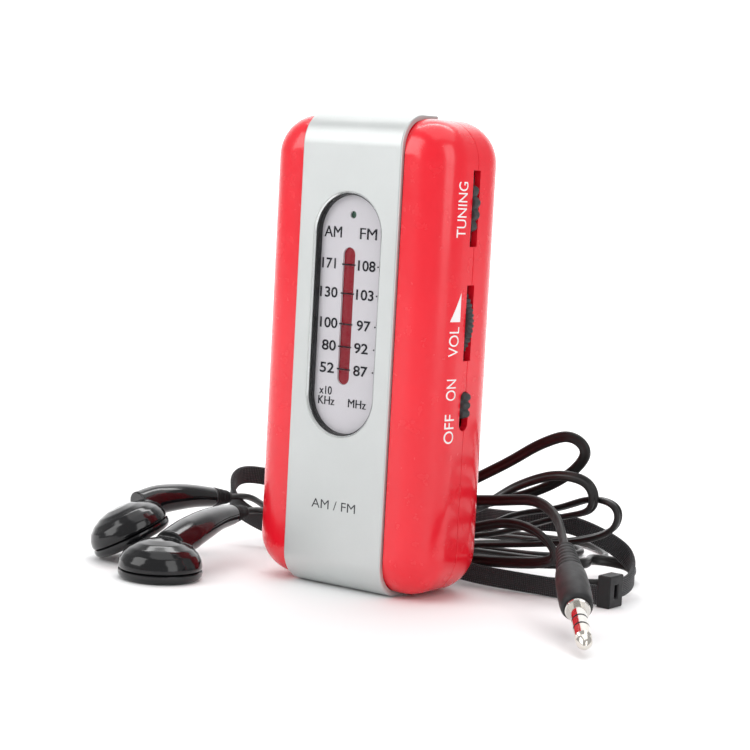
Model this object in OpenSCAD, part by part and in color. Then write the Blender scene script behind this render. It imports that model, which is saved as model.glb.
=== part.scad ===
// Pocket radio with a slide-rule dial, thumbwheels and wired earphones.
// Upright on its base: +Z up, front towards -Y, thumbwheels on +X, origin at the base's centre.

/* [Case] */
// Height of the standing radio
radio_h = 108; // [106:0.5:110]
// Width of the case
case_w = 50.6; // [50:0.2:52]
// Depth of the case between its front and rear faces
case_d = 26; // [26:0.2:27]
// Radius of the case's corners and edges
edge_r = 9; // [8.8:0.1:9.2]
// Wall thickness of both shells
wall = 1.6; // [1.5:0.05:1.7]
// Place of the joint between the shells, measured from the case's middle
seam_y = -0.6; // [-0.8:0.1:-0.4]

/* [Band] */
// Width of the silver band
band_w = 27.4; // [27:0.1:28]
// Thickness of the silver band
band_t = 1.2; // [1.1:0.05:1.3]
// Height of the band above the case
band_rise = 0.8; // [0.7:0.05:0.9]
// Outside radius of the band's top and bottom bends
bend_r = 7.6; // [7:0.1:8]
// Width of the dial window
window_w = 18.1; // [17.5:0.1:18.6]
// Height of the dial window's lower end
window_low = 35.4; // [35:0.1:36]
// Height of the dial window's upper end
window_high = 89.9; // [89.5:0.1:90.2]

/* [Dial] */
// Depth of the dial plate behind the band's face
dial_depth = 2.2; // [2.1:0.05:2.3]
// Width of the pointer slot
slot_w = 3.3; // [3:0.1:3.4]
// Height of the pointer slot's lower end
slot_low = 46.8; // [46.5:0.1:47]
// Height of the pointer slot's upper end
slot_high = 77.8; // [77.5:0.1:78]
// Height of the pointer at the top of the scale
pointer_z = 74.2; // [74:0.1:74.4]
// Radius at which the dial cord runs on its drum
drum_r = 7.6; // [7.4:0.05:7.7]

/* [Controls] */
// Radius of the tuning thumbwheel
tuning_r = 12.2; // [12:0.05:12.3]
// Height of the tuning thumbwheel's axis
tuning_z = 88; // [87.9:0.05:88.2]
// Radius of the volume thumbwheel
volume_r = 11.5; // [11.3:0.05:11.6]
// Height of the volume thumbwheel's axis
volume_z = 62.7; // [62.5:0.05:62.8]
// Reach of both thumbwheels out of the case's side
wheel_reach = 1; // [0.9:0.05:1.1]
// Teeth on the tuning thumbwheel
tuning_teeth = 26; // [22:1:30]
// Teeth on the volume thumbwheel
volume_teeth = 60; // [48:1:64]
// Travel of the power and band switches
switch_travel = 2.6; // [2.4:0.1:2.7]

/* [Batteries] */
// Diameter of a cell
cell_d = 10.5; // [10.3:0.1:10.5]
// Length of a cell with its button
cell_l = 44.5; // [44:0.1:44.5]

/* [Earphones] */
// Radius of an earpiece's rim
ear_r = 9.7; // [9:0.1:9.8]
// Width of the twin cord
twin_d = 2.6; // [2.4:0.1:2.8]
// Diameter of each earpiece's cord
lead_d = 1.6; // [1.4:0.1:1.8]
// Diameter of the plug's contacts
plug_d = 3.5; // [3.4:0.05:3.5]
// Width of the neck strap
strap_w = 4.4; // [4:0.1:4.6]

/* [Hidden] */

$fn = 48;
far = 60;                           // longer than half the case in any direction

half_w = case_w / 2;
half_d = case_d / 2;
face_y = -half_d - band_rise;       // front face of the band
back_y = half_d + band_rise;        // rear face of the spine
dial_y = face_y + dial_depth;       // front face of the dial plate
groove = 0.35;                      // crevice on each side of the band
bed_t = 1;                          // wall under the band
bed_w = band_w + 2 * groove;
spine_r = 6.8;                      // bend of the rear spine
spine_t = wall + band_rise;
spine_top = radio_h - 0.7;           // the spine's top lies lower than the band's

window_r = window_w / 2;
bezel_t = 0.45;
plate_t = 0.5;
plate_r = window_r + 1.2;
filter_t = 0.4;
slot_x = -0.75;                     // middle of the pointer slot
led_spot = [-0.2, 85.1];
led_hole_r = 0.85;

wheel_y = -1.15;                    // middle plane of both thumbwheels
wheel_t = 2.2;
tuning_x = half_w + wheel_reach - tuning_r;
volume_x = half_w + wheel_reach - volume_r;
wheel_slot_y = [-2.4, 0.3];
wheel_slot_h = 16.8;
shaft_r = 1.5;
running = 0.05;                     // radial clearance of a running fit

cord_plane = -7.4;                  // the dial cord, its drum and its pulleys share this plane
cord_r = 0.3;
pulley_r = 2.6;
run_x = -4.2;                       // the run of cord that carries the pointer
upper_spot = [run_x + pulley_r, 94.4];
lower_spot = [run_x + pulley_r, 31];
drum_spot = [tuning_x, tuning_z];
drum_t = 1.8;
flange_h = 0.4;                     // flange above the cord's centre line
pin_r = 0.8;
rail_x = -6.8;
rail_y = -8.6;
rail_r = 0.75;
lug_low = 28.6;
lug_high = 93.6;
lug_h = 2.4;

switch_slot_y = [-2.6, 0.7];
switch_slot_h = 8.9;
power_z = 43.05;
band_z = 62;
knob_h = switch_slot_h - switch_travel - 0.3;
jack_z = 88;
jack_r = 1.8;
jack_l = 12;
jack_collar_r = 2.9;

board_y = 0.6;                      // front face of the circuit board
board_t = 1.2;
board_back = board_y + board_t;
board_low = 57.5;
board_high = 103;
post_spots = [[-17.5, 94], [17.5, 14], [-17.5, 14]];
post_r = 2.6;
post_root = half_d - wall + 0.2;    // the posts start inside the shells' walls
screw_r = 1;
screw_head_r = 2.1;
screw_head_h = 1.5;
board_post_spots = [[-18, 71], [17.4, 35.9]];
board_post_r = 1.8;

tray_in = [22.8, 49.4];             // inside of the battery tray: width, height
tray_low = 6;
tray_floor = 0.5;                   // front face of the tray's floor
tray_t = 0.9;
tray_wall = 1.1;
cell_y = tray_floor + tray_t + cell_d / 2;
cell_x = cell_d / 2 + 0.25;
cell_low = tray_low + 3.6;
door_w = 24.6;
door_low = 12;
door_high = 62;
door_t = 1.5;
door_gap = 0.25;
door_pivot = [back_y - door_t / 2, door_low + door_t / 2];
door_pin_r = 0.4;
door_pin_l = 1;                     // length of the pin at each end of the door's lower edge
rod_y = 5.8;                        // axis of the ferrite rod
rod_r = 3.2;
rod_z = 100;

/* Routes of the free cords and of the strap, which lie behind and beside the case. */
main_route = [[50, 5, 15], [46, 10, 17], [41, 15, 20], [33, 19, 22], [20, 22, 20],
  [0, 22, 17], [-14, 21, 13], [-24, 26, 11], [-14, 31, 13],
  [2, 28, 19], [19, 27, 28], [29, 26, 34], [37, 26, 37], [41, 27, 34], [36, 29, 28], [23, 31, 21],
  [0, 33, 14], [-12, 36, 10], [-20, 40, 7], [-14, 45, 9],
  [0, 40, 13], [12, 30, 17], [25, 24, 24], [36, 23, 28], [44, 24, 27], [44, 26, 21], [33, 28, 17],
  [10, 34, 9], [-12, 32, 6], [-24, 36, 5], [-15, 42, 5],
  [2, 40, 8], [18, 35, 15], [32, 31, 19], [43, 28, 23], [50, 27, 22], [49, 28, 17], [37, 30, 12],
  [12, 26, 8], [-10, 24, 5], [-22, 20, 5], [-12, 17, 7],
  [6, 18, 10], [26, 18, 16], [37, 16, 15], [41, 16, 11], [35, 18, 8],
  [12, 21, 5], [-10, 27, 3], [-20, 31, 2], [-10, 36, 2], [8, 33, 3],
  [24, 30, 5], [34, 40, 5], [30, 52, 4], [38, 56, 3], [43, 45, 1.5], [35, 32, 1.5],
  [18, 25, 1.5], [2, 24, 1.5]];
left_route = [[-6, 23, 1.5], [-16, 22, 1], [-28, 26, 1], [-38, 34, 1], [-36, 46, 1],
  [-22, 54, 1], [-4, 56, 1], [12, 62, 1], [14, 74, 1], [0, 78, 1], [-18, 70, 1],
  [-34, 60, 1], [-46, 50, 1], [-50, 40, 2], [-47, 29, 5], [-43, 18, 8.5], [-40.5, 9, 10.5],
  [-40, 3.5, 10.8]];
right_route = [[-6, 25, 1.5], [-16, 26, 1], [-28, 34, 1], [-30, 44, 1], [-18, 50, 1],
  [0, 52, 1], [18, 58, 1], [22, 72, 1], [8, 84, 1], [-14, 80, 1], [-34, 70, 1],
  [-52, 58, 1], [-58, 46, 1], [-55, 36, 3], [-53, 27, 8], [-51, 18, 11.5],
  [-50, 9, 12.4]];
strap_route = [[50, 24, 3], [50.5, 33, 3.5], [48, 40, 5.5], [44, 42, 9], [39, 38.5, 12.5],
  [31, 37, 14.5], [17, 39, 13], [0, 46, 11], [-24, 46, 10], [-44, 38, 12], [-55, 28, 15.5],
  [-57, 20, 15.5], [-53, 15, 10], [-43, 17, 5.5], [-26, 16.5, 4.4], [-8, 15.4, 4.4],
  [8, 15.4, 4.4], [20, 17.5, 3], [36, 21, 2.4], [50, 21, 2.6]];
red_lead = [[6, 3.5, 57.8], [8, 5, 60], [6, 6, 62], [4, 4, 64], [3, 1.8, 64]];
black_lead = [[-6, 3.5, 57.8], [-4, 5, 60], [-2, 6, 61], [0, 4, 62], [0, 1.8, 62]];

plug_tail = [50, 5, 15];
plug_tip = [74.6, -26, 2.4];
grip_l = 26;
left_centre = [-34, -33, 0];
right_centre = [-52.5, -21.8, 4.4];
right_lean = 28;                    // the right earpiece leans on the left one
right_turn = 216;
left_stem = [[-34, -30, 7], [-34.8, -24, 8.6], [-36, -17, 10], [-37.5, -10, 10.8], [-39, -3, 10.8]];
left_stem_r = [4, 4.3, 3.9, 3.3, 2.8];
right_stem = [[-54.8, -18, 12], [-53.6, -13, 13.4], [-52, -7, 13.8], [-51, -2, 13.6], [-50.5, 3, 13]];
right_stem_r = [4.2, 4, 3.6, 3.1, 2.7];
left_relief_route = [[-39, -3, 10.8], [-39.5, 0, 10.8], [-40, 3.5, 10.8]];
right_relief_route = [[-50.5, 3, 13], [-50.3, 6, 12.7], [-50, 9, 12.4]];

/* Small tools for shapes. */
function unit(v) = v / norm(v);
function carried(side, t) = unit(side - (side * t) * t);
function first_side(t) = unit(cross(t, abs(t[2]) > 0.9 ? [0, 1, 0] : [0, 0, 1]));
// Across a run without leaning it over, so that its other side stays as near upright as it can.
function level_side(t) = unit(cross(t, [0, 0, 1]));
function tangent(p, i) = unit(p[min(i + 1, len(p) - 1)] - p[max(i - 1, 0)]);
function sides_of(p, side, i = 0, out = []) = i == len(p) ? out :
  let (s = carried(side, tangent(p, i))) sides_of(p, s, i + 1, concat(out, [s]));
function outer_tangent(c1, r1, c2, r2) = let (d = c2 - c1)
  atan2(d[1], d[0]) + acos((r1 - r2) / norm(d));
function on_circle(c, r, a) = c + r * [cos(a), sin(a)];

// A closed tube along points p; rx and rz are half its width across and up, one per point.
module tube(p, rx, rz, sides = 8, upright = false) {
  side = upright ? [for (i = [0:len(p) - 1]) level_side(tangent(p, i))]
    : sides_of(p, first_side(tangent(p, 0)));
  last = (len(p) - 1) * sides;
  rings = [for (i = [0:len(p) - 1]) for (k = [0:sides - 1])
    let (a = (k + 0.5) * 360 / sides, up = cross(side[i], tangent(p, i)))
    p[i] + rx[i] * cos(a) * side[i] + rz[i] * sin(a) * up];
  skin = [for (i = [0:len(p) - 2]) for (k = [0:sides - 1]) for (half = [0, 1])
    let (a = i * sides + k, b = i * sides + (k + 1) % sides)
    half == 0 ? [a, a + sides, b] : [b, a + sides, b + sides]];
  polyhedron(rings, concat([[for (k = [0:sides - 1]) k]], skin,
    [[for (k = [sides - 1:-1:0]) last + k]]), convexity = 8);
}

module round_tube(p, d) {
  r = [for (i = p) d / 2];
  tube(p, r, r);
}

// A solid of revolution's frame: +Z turned to point from a towards b.
module aimed(a, b) {
  d = unit(b - a);
  translate(a) rotate([0, acos(d[2]), atan2(d[1], d[0])]) children();
}

module along_x(length) {
  rotate([90, 0, 90]) linear_extrude(length, center = true) children();
}

module along_y(from, to) {
  translate([0, to, 0]) rotate([90, 0, 0]) linear_extrude(to - from) children();
}

// The case's rounded outline, moved inwards by inset.
module case_block(inset) {
  r = edge_r - inset;
  x1 = half_w - edge_r;
  y1 = half_d - edge_r;
  z0 = band_rise + edge_r;
  z1 = radio_h - z0;
  tall = z1 - z0;
  translate([-x1 - r, -y1, z0]) cube([2 * (x1 + r), 2 * y1, tall]);
  translate([-x1, -y1 - r, z0]) cube([2 * x1, 2 * (y1 + r), tall]);
  translate([-x1, -y1, z0 - r]) cube([2 * x1, 2 * y1, tall + 2 * r]);
  for (x = [-x1, x1], y = [-y1, y1]) translate([x, y, z0]) cylinder(h = tall, r = r);
  for (x = [-x1, x1], z = [z0, z1]) translate([x, y1, z]) rotate([90, 0, 0]) cylinder(h = 2 * y1, r = r);
  for (y = [-y1, y1], z = [z0, z1]) translate([-x1, y, z]) rotate([0, 90, 0]) cylinder(h = 2 * x1, r = r);
  for (x = [-x1, x1], y = [-y1, y1], z = [z0, z1]) translate([x, y, z]) sphere(r);
}

module stadium(r, low, high) {
  translate([-r, low + r]) square([2 * r, high - low - 2 * r]);
  for (z = [low + r, high - r]) translate([0, z]) circle(r);
}

module rounded_square(size, r) {
  translate([r, 0]) square([size[0] - 2 * r, size[1]]);
  translate([0, r]) square([size[0], size[1] - 2 * r]);
  for (x = [r, size[0] - r], y = [r, size[1] - r]) translate([x, y]) circle(r);
}

// Side view of the radio's front or rear half; inset moves its outline inwards.
module half_profile(depth, bend, inset, cut, top = radio_h) {
  r = bend - inset;
  translate([cut, inset]) square([depth - inset - r - cut, top - 2 * inset]);
  translate([cut, inset + r]) square([depth - inset - cut, top - 2 * inset - 2 * r]);
  for (z = [inset + r, top - inset - r]) translate([depth - inset - r, z]) circle(r);
}

module front_profile(inset, cut = 0) {
  mirror([1, 0]) half_profile(-face_y, bend_r, inset, cut == 0 ? -seam_y : cut);
}

module rear_profile(inset, cut = 0, top = spine_top) {
  half_profile(back_y, spine_r, inset, cut == 0 ? seam_y : cut, top);
}

module shell_walls(low_y, high_y) {
  intersection() {
    difference() {
      case_block(0);
      case_block(wall);
      translate([-bed_w / 2, -far, -1]) cube([bed_w, 2 * far, radio_h + 2]);
    }
    translate([-far, low_y, -1]) cube([2 * far, high_y - low_y, radio_h + 2]);
  }
}

module side_openings() {
  wheel_w = wheel_slot_y[1] - wheel_slot_y[0];
  switch_r = (switch_slot_y[1] - switch_slot_y[0]) / 2;
  for (z = [tuning_z, volume_z]) translate([half_w - 4, wheel_slot_y[0], z - wheel_slot_h / 2])
    cube([6, wheel_w, wheel_slot_h]);
  for (s = [[1, power_z], [-1, band_z]]) translate([s[0] * half_w, switch_slot_y[0] + switch_r, s[1]])
    along_x(8) stadium(switch_r, -switch_slot_h / 2, switch_slot_h / 2);
  translate([-half_w - 1, seam_y, jack_z]) rotate([0, 90, 0]) cylinder(h = 4, r = jack_collar_r + 0.1);
}

/* The case and its band. */
module front_shell() {
  color("red") difference() {
    union() {
      shell_walls(-far, seam_y);
      along_x(bed_w) difference() {
        front_profile(band_t);
        front_profile(band_t + bed_t, -far);
      }
      intersection() {
        case_block(0);
        along_x(bed_w + 2) difference() {
          front_profile(band_t);
          front_profile(band_t + bed_t, -far);
        }
      }
      for (p = post_spots) along_y(-post_root, seam_y) translate(p) circle(post_r);
      for (p = board_post_spots) along_y(-post_root, board_y) translate(p) circle(board_post_r);
      for (p = [upper_spot, lower_spot]) along_y(dial_y - 0.2, cord_plane - drum_t / 2 - 0.2)
        translate(p) circle(1.6);
      for (z = [lug_low, lug_high]) translate([rail_x - 1.6, dial_y - 0.2, z])
        cube([3.2, rail_y + 1.4 - dial_y, lug_h]);
    }
    along_y(-far, 0) stadium(window_r + bezel_t, window_low - bezel_t, window_high + bezel_t);
    side_openings();
    for (p = post_spots) along_y(-9, seam_y + 1) translate(p) circle(screw_r);
    for (p = board_post_spots) along_y(-5, board_y + 1) translate(p) circle(0.8);
    for (p = [upper_spot, lower_spot]) along_y(-10.5, -7) translate(p) circle(pin_r);
    translate([rail_x, rail_y, lug_low + 0.8]) cylinder(h = lug_high - lug_low + 0.8, r = rail_r);
  }
}

module rear_shell() {
  tray_w = tray_in[0] + 2 * tray_wall;
  color("red") difference() {
    union() {
      shell_walls(seam_y, far);
      along_x(bed_w) difference() {
        rear_profile(0);
        rear_profile(spine_t, -far, radio_h);
      }
      for (p = post_spots) along_y(seam_y, post_root) translate(p) circle(post_r);
      translate([-tray_w / 2, tray_floor, tray_low - tray_wall])
        cube([tray_w, back_y - spine_t + 0.4 - tray_floor, tray_in[1] + 2 * tray_wall]);
      for (x = [-9, 13]) translate([x, rod_y + rod_r, rod_z - 2]) cube([1.2, 2.8, 4]);
    }
    translate([-tray_in[0] / 2, tray_floor + tray_t, tray_low])
      cube([tray_in[0], cell_d + 0.15, tray_in[1]]);
    translate([-tray_in[0] / 2, cell_y, door_low - door_gap])
      cube([tray_in[0], far, tray_low + tray_in[1] - door_low + door_gap]);
    along_y(back_y - door_t - 0.1, far) translate([-door_w / 2 - door_gap, door_low - door_gap])
      square([door_w + 2 * door_gap, door_high - door_low + 2 * door_gap]);
    translate([0, door_pivot[0], door_pivot[1]]) along_x(door_w + 2 * door_pin_l + 0.2)
      circle(door_pin_r + running);
    side_openings();
    for (p = post_spots) {
      along_y(seam_y - 1, far) translate(p) circle(screw_r + 0.15);
      along_y(half_d - 2.6, far) translate(p) circle(screw_head_r + 0.2);
    }
  }
}

module front_band() {
  color("silver") difference() {
    along_x(band_w) difference() {
      front_profile(0);
      front_profile(band_t, -far);
    }
    along_y(-far, 0) stadium(window_r, window_low, window_high);
  }
}

// The door tilts out about the pins at its lower edge.
module battery_door() {
  color("red") difference() {
    union() {
      along_y(back_y - door_t, back_y) translate([-door_w / 2, door_pivot[1]]) {
        square([door_w, 4]);
        translate([0, 1]) rounded_square([door_w, door_high - door_pivot[1] - 1], 1);
      }
      translate([0, door_pivot[0], door_pivot[1]]) {
        along_x(door_w) circle(door_t / 2);
        along_x(door_w + 2 * door_pin_l) circle(door_pin_r);
      }
    }
    for (z = [door_high - 9:1.5:door_high - 4]) along_y(back_y - 0.4, far)
      translate([-4, z]) square([8, 0.7]);
  }
}

/* The dial. */
module dial_lens() {
  color([0.9, 0.95, 1, 0.35]) along_y(face_y + 0.15, face_y + 1.35)
    stadium(window_r - 0.1, window_low + 0.1, window_high - 0.1);
}

module dial_bezel() {
  color("black") difference() {
    along_y(face_y + 1.35, dial_y) stadium(window_r + bezel_t - 0.1, window_low - 0.35, window_high + 0.35);
    along_y(-far, 0) stadium(window_r - 0.5, window_low + 0.5, window_high - 0.5);
    along_y(-far, face_y + band_t) difference() {
      stadium(window_r + 2, window_low - 2, window_high + 2);
      stadium(window_r - 0.1, window_low + 0.1, window_high - 0.1);
    }
  }
}

module dial_plate() {
  color("lavender") difference() {
    along_y(dial_y, dial_y + plate_t) stadium(plate_r, window_low - 1.2, window_high + 1.2);
    along_y(-far, 0) translate([slot_x, 0]) stadium(slot_w / 2, slot_low, slot_high);
    along_y(-far, 0) translate(led_spot) circle(led_hole_r);
  }
}

module dial_filter() {
  color([0.5, 0.03, 0.08, 0.8]) along_y(dial_y + plate_t, dial_y + plate_t + filter_t)
    translate([slot_x - 3, slot_low - 2.4]) square([6, slot_high - slot_low + 4.8]);
}

module dial_pointer() {
  front = dial_y + plate_t + filter_t + 0.3;
  grip = 5.2;
  color("orange") difference() {
    union() {
      translate([rail_x, front, pointer_z - 0.5]) cube([slot_x + 2.2 - rail_x, 0.5, 1]);
      translate([rail_x - 1.7, front, pointer_z - grip / 2]) cube([4.9, cord_plane + 0.9 - front, grip]);
    }
    translate([rail_x, rail_y, 0]) cylinder(h = 2 * far, r = rail_r + running);
    translate([run_x, cord_plane, 0]) cylinder(h = 2 * far, r = cord_r + running);
  }
}

module pointer_rail() {
  color("silver") translate([rail_x, rail_y, lug_low + 0.8])
    cylinder(h = lug_high - lug_low + 0.8, r = rail_r);
}

module grooved_wheel(r, bore, thick) {
  rim = r + flange_h;
  bed = r - cord_r - running;
  half = cord_r + 0.2;
  rotate([90, 0, 0]) rotate_extrude() polygon([[bore, -thick / 2], [rim, -thick / 2], [rim, -half],
    [bed, -half], [bed, half], [rim, half], [rim, thick / 2], [bore, thick / 2]]);
}

module pulley(spot) {
  color("white") translate([spot[0], cord_plane, spot[1]]) grooved_wheel(pulley_r, pin_r + running, drum_t);
}

module upper_pulley() { pulley(upper_spot); }
module lower_pulley() { pulley(lower_spot); }

module pulley_pins() {
  color("silver") for (p = [upper_spot, lower_spot]) {
    along_y(-10.5, cord_plane + drum_t / 2 + 0.7) translate(p) circle(pin_r);
    along_y(cord_plane + drum_t / 2 + 0.2, cord_plane + drum_t / 2 + 0.7) translate(p) circle(1.4);
  }
}

module cord_drum() {
  color("white") {
    translate([tuning_x, cord_plane, tuning_z]) grooved_wheel(drum_r, shaft_r - 0.2, drum_t);
    along_y(cord_plane - drum_t / 2, board_back + 5.5) translate([tuning_x, tuning_z]) circle(shaft_r);
  }
}

// Points of the cord where it lies round a wheel, clockwise from one angle to the other.
function wrap(spot, r, from, to, steps) = let (sweep = ((from - to) % 360 + 360) % 360)
  [for (k = [0:steps]) let (p = on_circle(spot, r, from - sweep * k / steps)) [p[0], cord_plane, p[1]]];

// The loop starts and ends in the pointer's grip, where its knot is.
module dial_cord() {
  knot = 0.1;
  up = outer_tangent(lower_spot, pulley_r, upper_spot, pulley_r);
  over = outer_tangent(upper_spot, pulley_r, drum_spot, drum_r);
  back = outer_tangent(drum_spot, drum_r, lower_spot, pulley_r);
  color("ivory") round_tube(concat([[run_x, cord_plane, pointer_z + knot]],
    wrap(upper_spot, pulley_r, up, over, 8), wrap(drum_spot, drum_r, over, back, 20),
    wrap(lower_spot, pulley_r, back, up, 14), [[run_x, cord_plane, pointer_z - knot]]), 2 * cord_r);
}

module signal_led() {
  color([0.1, 0.35, 0.2]) {
    along_y(dial_y + plate_t + 0.2, dial_y + plate_t + 3.4) translate(led_spot) circle(1.5);
    along_y(dial_y + plate_t + 3, dial_y + plate_t + 3.6) translate(led_spot) circle(1.9);
    for (x = [-0.6, 0.6]) along_y(dial_y + plate_t + 3.6, board_y)
      translate(led_spot + [x - 0.2, -0.2]) square(0.4);
  }
}

/* The controls. */
module toothed_wheel(r, teeth, notch_r, notch_depth) {
  difference() {
    circle(r, $fn = 96);
    for (k = [0:teeth - 1]) rotate((k + 0.5) * 360 / teeth)
      translate([r - notch_depth + notch_r, 0]) circle(notch_r, $fn = 16);
  }
}

module tuning_wheel() {
  color("dimgray") translate([tuning_x, 0, tuning_z]) difference() {
    union() {
      along_y(wheel_y - wheel_t / 2, wheel_y + wheel_t / 2)
        toothed_wheel(tuning_r, tuning_teeth, 0.8, 0.75);
      along_y(wheel_y - 2.4, wheel_y) circle(3.4);
    }
    along_y(-far, far) circle(shaft_r);
  }
}

module volume_wheel() {
  color("dimgray") translate([volume_x, 0, volume_z]) {
    along_y(wheel_y - wheel_t / 2, wheel_y + wheel_t / 2)
      toothed_wheel(volume_r, volume_teeth, 0.36, 0.35);
    along_y(wheel_y, board_back + 2) circle(shaft_r);
    along_y(wheel_y - wheel_t / 2 - 0.6, wheel_y) circle(3);
  }
}

module tuning_capacitor() {
  size = 15;
  color("ivory") difference() {
    along_y(board_back, board_back + 6.4) translate([tuning_x - size / 2, tuning_z - size / 2])
      rounded_square([size, size], 1);
    along_y(-far, board_back + 5.6) translate([tuning_x, tuning_z]) circle(shaft_r + running);
  }
}

module volume_pot() {
  color("silver") difference() {
    along_y(board_back, board_back + 3.2) translate([volume_x, volume_z]) circle(4.6);
    along_y(-far, board_back + 2.2) translate([volume_x, volume_z]) circle(shaft_r + running);
  }
}

// Slide knob on the side that s names, its top at the upper end of its slot.
module slide_knob(s, z) {
  r = (switch_slot_y[1] - switch_slot_y[0]) / 2 - 0.15;
  mid_y = (switch_slot_y[0] + switch_slot_y[1]) / 2;
  top = z + switch_slot_h / 2 - 0.15;
  color("dimgray") {
    translate([s * (half_w - 1), mid_y, top]) along_x(2.4) stadium(r, -knob_h, 0);
    for (k = [-1, 0, 1]) translate([s * (half_w + 0.1), mid_y, top - knob_h / 2 + k * 1.9])
      rotate([90, 0, 0]) cylinder(h = 2 * r - 0.5, r = 0.75, center = true, $fn = 24);
    translate([s * (half_w - 3.4) - 1.4, mid_y - 0.6, top - knob_h / 2 - 1]) cube([2.8, 1.2, 2]);
  }
}

// Slide switch that the knob's blade works in.
module slide_switch(s, z) {
  mid = s * (half_w - 6.2);
  mid_y = (switch_slot_y[0] + switch_slot_y[1]) / 2;
  blade_z = z + switch_slot_h / 2 - 0.15 - knob_h / 2;
  color("silver") difference() {
    translate([mid - 2.6, mid_y - 2.1, z - 5]) cube([5.2, board_y - mid_y + 2.1, 10]);
    translate([s * (half_w - 3.4) - 1.8, mid_y - 0.8, blade_z - 1.2 - switch_travel])
      cube([3.6, 1.6, switch_travel + 2.4]);
  }
}

module power_knob() { slide_knob(1, power_z); }
module power_switch() { slide_switch(1, power_z); }
module band_knob() { slide_knob(-1, band_z); }
module band_switch() { slide_switch(-1, band_z); }

module earphone_jack() {
  body = [10.6, 5.8, 6];
  color("black") difference() {
    union() {
      translate([-half_w + wall + 0.4, seam_y - body[1] / 2, jack_z - body[2] / 2]) cube(body);
      translate([-half_w + 0.2, seam_y, jack_z]) rotate([0, 90, 0]) cylinder(h = 4, r = jack_collar_r);
    }
    translate([-half_w - 1, seam_y, jack_z]) rotate([0, 90, 0]) cylinder(h = jack_l + 1.2, r = jack_r);
  }
}

/* The circuit. */
module circuit_board() {
  color("darkgreen") difference() {
    union() {
      along_y(board_y, board_back) translate([-20, board_low])
        rounded_square([40, board_high - board_low], 1.5);
      along_y(board_y, board_back) translate([13.4, 34]) rounded_square([8, 30], 1);
    }
    along_y(-far, far) translate([-21, jack_z - 4.2]) square([10.6, 8.4]);
    along_y(-far, far) translate(post_spots[0] + [-4, -3.4]) square([7.4, 20]);
    along_y(-far, far) translate([tuning_x, tuning_z]) circle(shaft_r + 0.4);
    along_y(-far, far) translate([volume_x, volume_z]) circle(shaft_r + 0.4);
    for (p = board_post_spots) along_y(-far, far) translate(p) circle(0.95);
  }
}

module board_screws() {
  color("silver") for (p = board_post_spots) {
    along_y(-3.4, board_back) translate(p) circle(0.8);
    along_y(board_back, board_back + 0.9) translate(p) circle(1.6);
  }
}

module radio_chip() {
  color("black") along_y(board_back, board_back + 1.8) translate([-14, 70]) square([6.4, 11]);
  color("silver") for (k = [0:6], s = [-1, 1])
    along_y(board_back, board_back + 0.9) translate([-10.8 + s * 3.7 - 0.5, 71 + k * 1.4]) square([1, 0.6]);
}

module tuned_coils() {
  for (p = [[-12.5, 66], [-5.5, 66], [-12.5, 74.5]]) {
    color("silver") along_y(board_y - 5.4, board_y) translate(p - [3.4, 3.4]) rounded_square([6.8, 6.8], 0.8);
    color("orange") along_y(board_y - 5.9, board_y - 5.4) translate(p) circle(1.7);
  }
}

module filter_capacitors() {
  color("navy") for (p = [[-4, 70.5], [-4, 79], [-6, 91]]) along_y(board_back, board_back + 6.4)
    translate(p) circle(2.5);
}

module ferrite_rod() {
  color("dimgray") translate([-10.5, rod_y, rod_z]) rotate([0, 90, 0]) cylinder(h = 26, r = rod_r);
}

module aerial_coil() {
  color("peru") translate([-3, rod_y, rod_z]) rotate([0, 90, 0]) difference() {
    cylinder(h = 11, r = rod_r + 0.7);
    translate([0, 0, -1]) cylinder(h = 13, r = rod_r);
  }
}

module case_screws() {
  color("silver") for (p = post_spots) {
    along_y(-7, half_d - 2.6) translate(p) circle(screw_r);
    difference() {
      along_y(half_d - 2.6, half_d - 2.6 + screw_head_h) translate(p) circle(screw_head_r);
      along_y(half_d - 2.6 + screw_head_h - 0.7, far) translate(p) {
        square([2.6, 0.6], center = true);
        square([0.6, 2.6], center = true);
      }
    }
  }
}

/* The batteries. */
module battery_cells() {
  button = 1;
  for (s = [-1, 1]) translate([s * cell_x, cell_y, cell_low + (s > 0 ? 0 : cell_l)])
    rotate([s > 0 ? 0 : 180, 0, 0]) {
      color("gold") cylinder(h = cell_l - button, r = cell_d / 2);
      color("silver") cylinder(h = cell_l, r = 1.9);
    }
}

module battery_contacts() {
  color("silver") for (s = [-1, 1], z = [tray_low, tray_low + tray_in[1] - 0.4])
    translate([s * cell_x - 4, cell_y - 4.6, z]) cube([8, 9, 0.4]);
}

module battery_springs() {
  module spring(h) {
    rotate_extrude() polygon([[3.2, 0], [3.9, 0], [2.6, h], [1.9, h]]);
  }
  color("silver") {
    translate([cell_x, cell_y, tray_low + 0.4]) spring(cell_low - tray_low - 0.4);
    translate([-cell_x, cell_y, tray_low + 0.4]) spring(cell_low - tray_low - 0.4);
  }
}

module battery_leads() {
  color("red") round_tube(red_lead, 1);
  color("black") round_tube(black_lead, 1);
}

/* The earphones. */
module plug_grip() {
  color("black") aimed(plug_tail, plug_tip) difference() {
    rotate_extrude() polygon([[0, 0], [1.9, 0], [2.5, 8], [3.3, 13], [3.6, 20], [3.4, grip_l - 0.8],
      [2.9, grip_l], [0, grip_l]]);
    translate([0, 0, grip_l - 3]) cylinder(h = 4, r = plug_d / 2);
  }
}

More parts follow.
